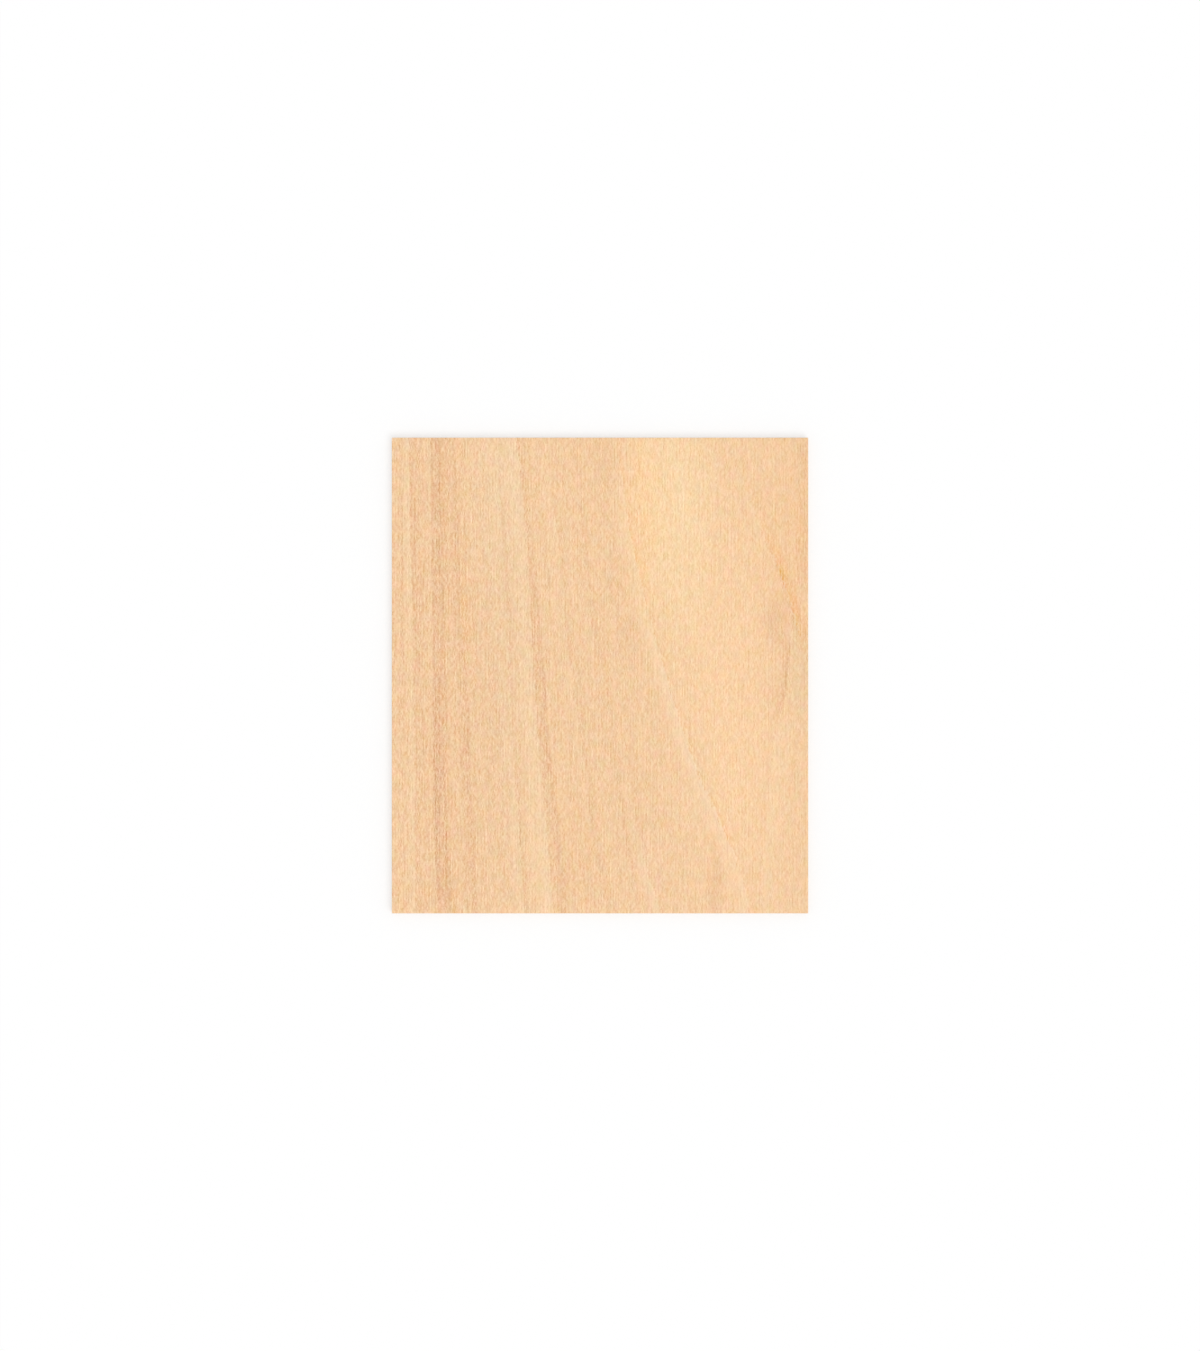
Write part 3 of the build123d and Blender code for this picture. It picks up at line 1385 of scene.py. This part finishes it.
            place = add_node(
                tree, "GeometryNodeSwitch", {"Switch": chosen, "False": place, "True": spread},
                input_type="VECTOR",
            )
        return place

    def sides(self, tree: Tree) -> dict[str, Socket | bool]:
        """Tells the sides of the sheet apart by the way that they face.

        Args:
            tree: Tree of the rule.

        Returns:
            Selections by the name of the finish, in the order in which they are laid on.
        """
        normal = add_node(tree, "GeometryNodeInputNormal")
        facing = add_node(tree, "ShaderNodeSeparateXYZ", {"Vector": normal}).node.outputs
        sideways = add_node(tree, "ShaderNodeMath", {0: facing["Y"]}, operation="ABSOLUTE")
        across = add_node(
            tree, "ShaderNodeMath", {0: sideways, 1: self.turned}, operation="GREATER_THAN"
        )
        up = add_node(tree, "ShaderNodeMath", {0: facing["Z"], 1: self.turned}, operation="GREATER_THAN")
        under = add_node(tree, "ShaderNodeMath", {0: facing["Z"], 1: -self.turned}, operation="LESS_THAN")
        return {"Edge Along": True, "Edge Across": across, "Good Face": up, "Back Face": under}

    def build(self) -> bpy.types.Object:
        """Runs the rule once and keeps its result as a plain mesh.

        Returns:
            The finished piece, at the origin.
        """
        piece = bpy.data.objects.new("plywood_sheet_dressed", bpy.data.meshes.new("plywood_sheet_dressed"))
        bpy.context.scene.collection.objects.link(piece)
        values: dict[str, Any] = {
            "Size": Vector((self.width_mm, self.length_mm, self.thickness_mm)) * MM,
            "Cells Across": self.cells_across,
            "Cells Along": self.cells_along,
            "Cells Up": self.cells_up,
            "Face Ply": self.face_ply_mm * MM,
            "Core Ply": self.core_ply_mm * MM,
            "Arris": self.arris_mm * MM,
            "Grain Width": self.grain_width_mm * MM,
            "Grain Length": self.grain_length_mm * MM,
            "Face Relief": self.face_relief_mm * MM,
            "Edge Relief": self.edge_relief_mm * MM,
            "Seed": self.seed,
        }
        values.update(self.finishes())
        rule = self.rule()
        modifier = piece.modifiers.new("rule", "NODES")
        modifier.node_group = rule
        for item in rule.interface.items_tree:
            if item.in_out == "INPUT":
                modifier[item.identifier] = values[item.name]
        result = piece.evaluated_get(bpy.context.evaluated_depsgraph_get())
        mesh = bpy.data.meshes.new_from_object(result)
        mesh.materials.pop(index=0)  # the block starts with an empty slot, which no face uses
        piece.modifiers.remove(modifier)
        piece.data = mesh
        return piece

    def place(self, piece: bpy.types.Object) -> None:
        """Ties the piece to the CAD body, and hides the CAD node that it stands for.

        Args:
            piece: The finished piece.
        """
        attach(piece, SHEET_BODY)
        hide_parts(SHEET_NODE)


@dataclass
class Studio:
    """Plain white studio: floor, soft light and a camera that looks straight down.

    Attributes:
        sky_colour: White of the light from all round.
        sky_light: Light from all round, as a share of the whole on the good face.
        key_tilt_deg: How far the key light leans from overhead.
        key_turn_deg: Which way the key light leans.
        key_size_deg: Apparent size of the key light, large for a soft shadow.
        floor_size_mm: Side of the floor.
        floor_gap_mm: How far the floor lies under the sheet, so that the two don't merge.
        floor_colour: White of the floor.
        floor_glow: Share of the floor's white that shows as its own, which keeps the shadow faint.
        lens_mm: Focal length.
        sensor_mm: Long side of the camera's sensor.
    """

    sky_colour: str = "#FFFFFF"
    sky_light: float = 0.7
    key_tilt_deg: float = 32.0
    key_turn_deg: float = 40.0
    key_size_deg: float = 35.0
    floor_size_mm: float = 8000.0
    floor_gap_mm: float = 0.05
    floor_colour: str = "#FFFFFF"
    floor_glow: float = 0.62
    lens_mm: float = 85.0
    sensor_mm: float = 36.0

    def seen(self, tree: Tree) -> Socket:
        """Tells the rays that show the backdrop from those that carry light to the sheet.

        Args:
            tree: Tree of the world or of the floor.

        Returns:
            1 for camera, glossy and transmission rays, and 0 for the rest.
        """
        rays = add_node(tree, "ShaderNodeLightPath").node.outputs
        shown = add_node(
            tree, "ShaderNodeMath",
            {0: rays["Is Camera Ray"], 1: rays["Is Glossy Ray"]}, operation="MAXIMUM",
        )
        return add_node(
            tree, "ShaderNodeMath", {0: shown, 1: rays["Is Transmission Ray"]}, operation="MAXIMUM"
        )

    def light(self) -> None:
        """Sets the white world and the soft key light."""
        scene = bpy.context.scene
        scene.view_settings.view_transform = "Standard"
        scene.world = bpy.data.worlds.new("white_studio")
        scene.world.use_nodes = True
        tree = scene.world.node_tree
        tree.nodes.clear()
        white = linear(self.sky_colour)
        soft = add_node(tree, "ShaderNodeBackground", {"Color": white, "Strength": self.sky_light})
        plain = add_node(tree, "ShaderNodeBackground", {"Color": white, "Strength": 1.0})
        mixed = add_node(tree, "ShaderNodeMixShader", {0: self.seen(tree), 1: soft, 2: plain})
        add_node(tree, "ShaderNodeOutputWorld", {"Surface": mixed})
        lamp = bpy.data.lights.new("key_light", "SUN")
        lamp.angle = math.radians(self.key_size_deg)
        tilt = math.radians(self.key_tilt_deg)
        lamp.energy = (1 - self.sky_light) * math.pi / math.cos(tilt)
        key = bpy.data.objects.new("key_light", lamp)
        key.rotation_euler = (tilt, 0.0, math.radians(self.key_turn_deg))
        scene.collection.objects.link(key)

    def floor(self) -> bpy.types.Object:
        """Lays a white floor that keeps the sheet's shadow.

        Returns:
            The floor.
        """
        half = self.floor_size_mm / 2 * MM
        corners = [(-half, -half), (half, -half), (half, half), (-half, half)]
        mesh = bpy.data.meshes.new("studio_floor")
        mesh.from_pydata([(x, y, -self.floor_gap_mm * MM) for x, y in corners], [], [(0, 1, 2, 3)])
        paper = empty_material("white_backdrop_paper")
        tree = paper.node_tree
        matt = add_node(tree, "ShaderNodeBsdfDiffuse", {"Color": linear(self.floor_colour)})
        glow = add_node(tree, "ShaderNodeEmission", {"Strength": 1.0})
        shown = add_node(tree, "ShaderNodeMixShader", {0: self.floor_glow, 1: matt, 2: glow})
        surface = add_node(tree, "ShaderNodeMixShader", {0: self.seen(tree), 1: matt, 2: shown})
        add_node(tree, "ShaderNodeOutputMaterial", {"Surface": surface})
        mesh.materials.append(paper)
        floor = bpy.data.objects.new("studio_floor", mesh)
        bpy.context.scene.collection.objects.link(floor)
        return floor

    def camera(self, sheet: PlywoodSheet) -> bpy.types.Object:
        """Hangs the camera over the middle of the sheet, as far up as the photograph's frame needs.

        Args:
            sheet: Sheet that the camera looks down on.

        Returns:
            The camera.
        """
        frame_mm = PHOTO_HEIGHT_PX * sheet.width_mm / SHEET_WIDTH_PX
        distance_mm = frame_mm * self.lens_mm / self.sensor_mm
        data = bpy.data.cameras.new("photo_camera")
        data.lens = self.lens_mm
        data.sensor_width = self.sensor_mm
        camera = bpy.data.objects.new("photo_camera", data)
        camera.location = (0.0, 0.0, (sheet.thickness_mm + distance_mm) * MM)
        bpy.context.scene.collection.objects.link(camera)
        bpy.context.scene.camera = camera
        return camera


def main() -> None:
    """Builds the sheet, dresses it and sets the studio round it."""
    logging.basicConfig(level=logging.INFO, format="%(name)s: %(message)s")
    sheet = PlywoodSheet.from_frame(SHEET_NODE)
    piece = sheet.build()
    sheet.place(piece)
    piece.data.calc_loop_triangles()
    log.info("%s: %d triangles", piece.name, len(piece.data.loop_triangles))
    studio = Studio()
    studio.light()
    log.info("%s laid", studio.floor().name)
    log.info("%s hung", studio.camera(sheet).name)


if __name__ == "__main__":
    main()
